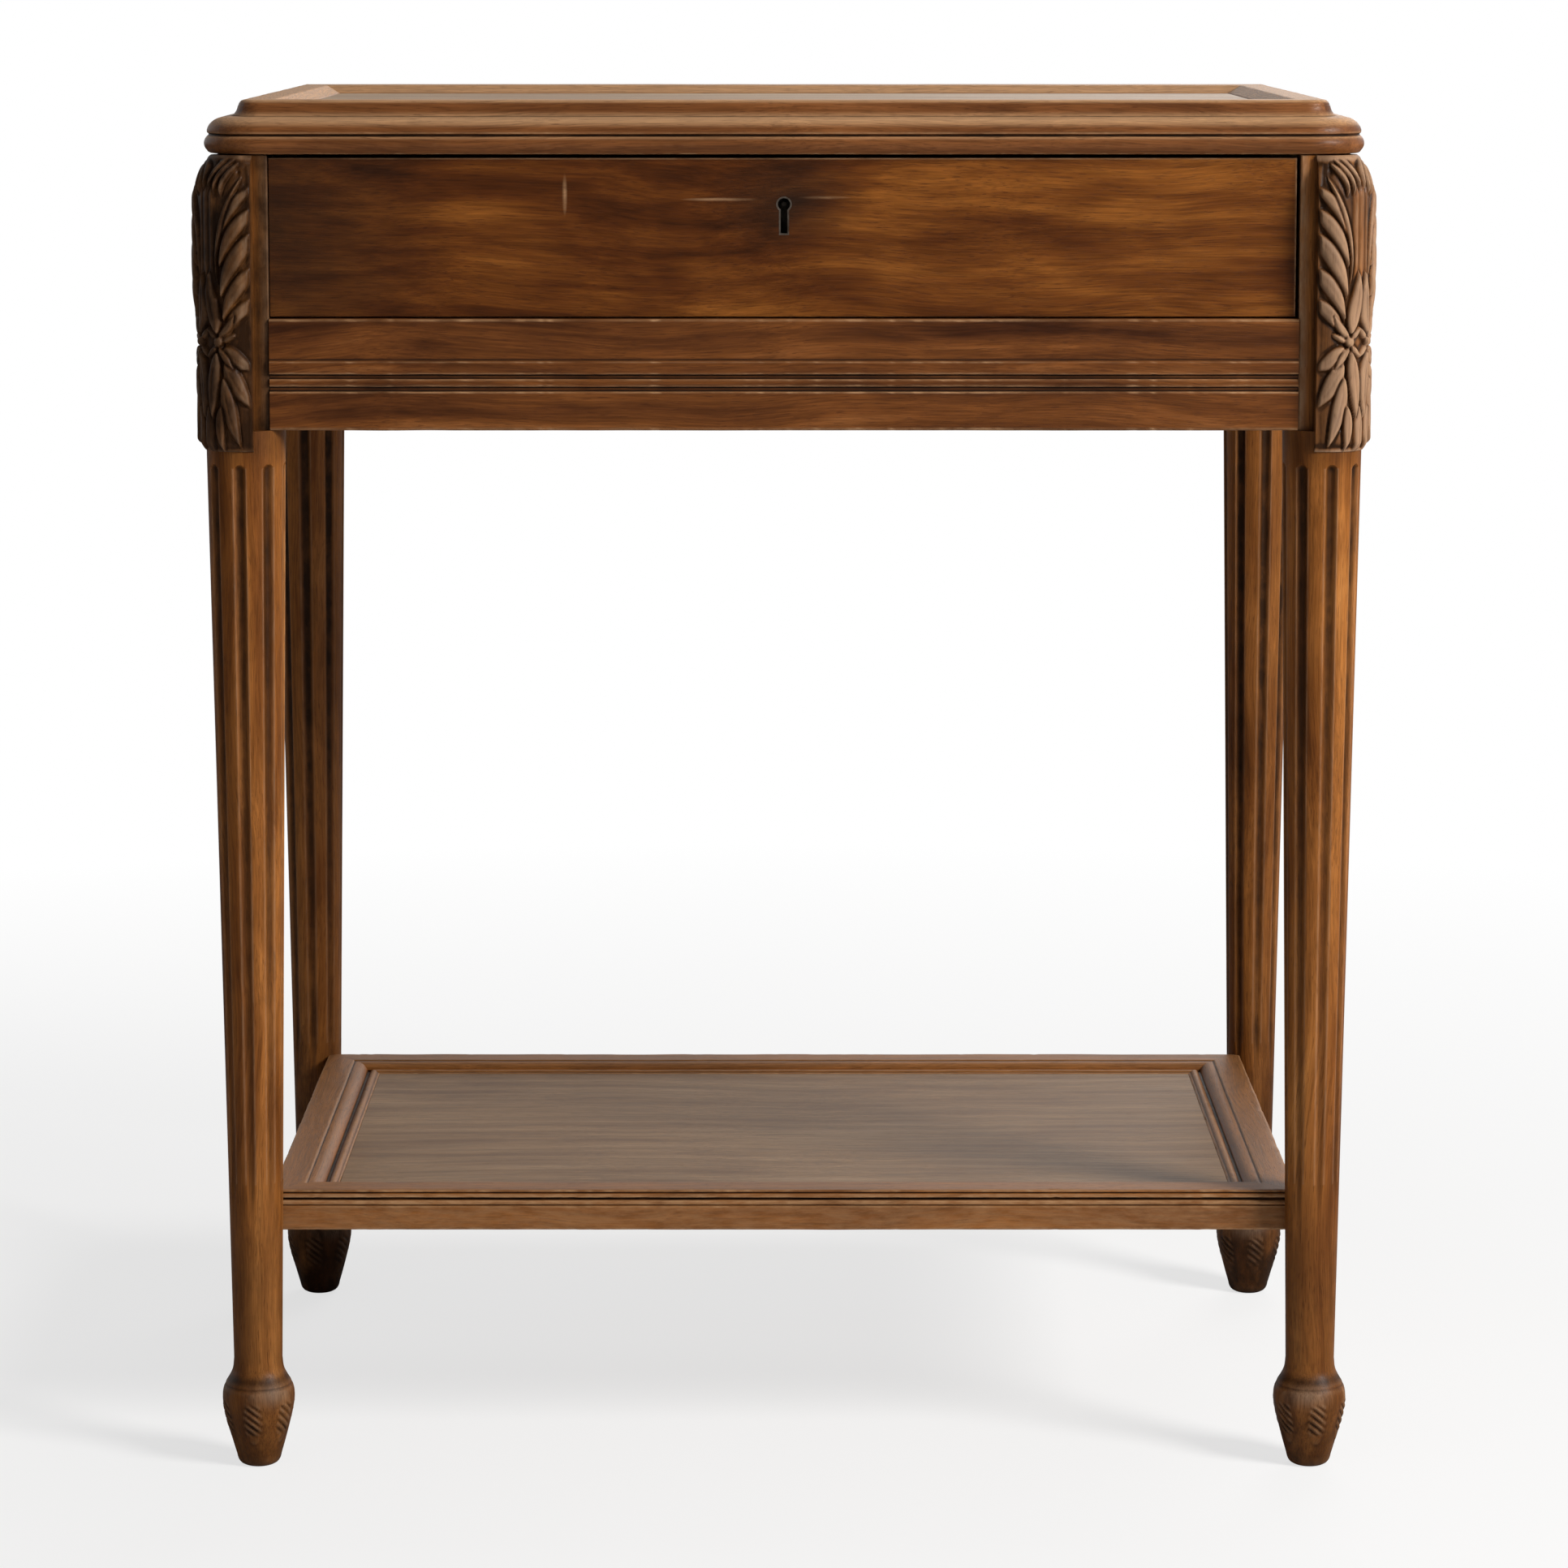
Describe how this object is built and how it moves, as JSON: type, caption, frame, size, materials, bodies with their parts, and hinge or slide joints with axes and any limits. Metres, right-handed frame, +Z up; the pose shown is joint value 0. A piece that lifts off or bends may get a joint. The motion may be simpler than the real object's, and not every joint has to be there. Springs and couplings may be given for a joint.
{
  "type": "dressing table",
  "caption": "Small walnut dressing table with a hinged moulded lid, one drawer, carved corner posts, fluted tapering legs and a low panelled shelf.",
  "frame": {"origin": "on the floor, in the middle of the four legs", "axes": "+X to the table's right as seen from the front, +Y to the back, +Z up"},
  "size_m": [0.6358, 0.4208, 0.75],
  "materials": {
    "walnut_legs": "worn waxed walnut",
    "walnut_case": "worn waxed walnut",
    "walnut_figured": "figured walnut veneer, french polished",
    "walnut_lid": "worn waxed walnut",
    "walnut_panel": "waxed walnut panel",
    "walnut_shelf": "worn waxed walnut",
    "walnut_shelf_panel": "dulled waxed walnut panel",
    "oak": "bare oak, aged",
    "mirror_board": "bare pine board",
    "mirror": "silvered glass",
    "brass": "tarnished brass",
    "steel": "dull aged steel"
  },
  "bodies": {
    "frame": {"back_rail": "walnut_case", "drawer_guide_left": "oak", "drawer_guide_right": "oak", "drawer_kicker_left": "oak", "drawer_kicker_right": "oak", "drawer_runner_left": "oak", "drawer_runner_right": "oak", "drawer_stops": "oak", "front_rail": "walnut_case", "hinge_case_leaf_left": "brass", "hinge_case_leaf_right": "brass", "hinge_case_screws": "steel", "hinge_pin_left": "steel", "hinge_pin_right": "steel", "leg_front_left": "walnut_legs", "leg_front_right": "walnut_legs", "leg_rear_left": "walnut_legs", "leg_rear_right": "walnut_legs", "shelf_dowels": "oak", "shelf_front_rail": "walnut_shelf", "shelf_left_rail": "walnut_shelf", "shelf_panel": "walnut_shelf_panel", "shelf_rear_rail": "walnut_shelf", "shelf_right_rail": "walnut_shelf", "side_rail_left": "walnut_case", "side_rail_right": "walnut_case"},
    "lid": {"hinge_lid_leaf_left": "brass", "hinge_lid_leaf_right": "brass", "hinge_lid_screws": "steel", "lid_front_rail": "walnut_lid", "lid_left_rail": "walnut_lid", "lid_panel": "walnut_panel", "lid_rear_rail": "walnut_lid", "lid_right_rail": "walnut_lid", "mirror_backing": "mirror_board", "mirror_bead_front": "walnut_lid", "mirror_bead_left": "walnut_lid", "mirror_bead_rear": "walnut_lid", "mirror_bead_right": "walnut_lid", "mirror_glass": "mirror", "strike_plate": "brass", "strike_screws": "steel"},
    "drawer": {"drawer_front": "oak", "drawer_front_veneer": "walnut_figured", "drawer_side_left": "oak", "drawer_side_right": "oak", "drawer_back": "oak", "drawer_bottom": "oak", "drawer_bottom_screws": "steel", "keyhole_liner": "steel", "lock_case": "steel", "lock_screws": "steel"},
    "bolt": {"lock_bolt": "steel"}
  },
  "joints": [
    {"name": "lid_hinge", "type": "hinge", "parent": "frame", "child": "lid", "pos_m": [0, 0.1983, 0.72125], "axis": [-1, 0, 0], "range_deg": [0, 100]},
    {"name": "drawer_slide", "type": "slide", "parent": "frame", "child": "drawer", "axis": [0, -1, 0], "range_m": [0, 0.22]},
    {"name": "bolt_slide", "type": "slide", "parent": "drawer", "child": "bolt", "axis": [0, 0, 1], "range_m": [0, 0.0065]}
  ]
}
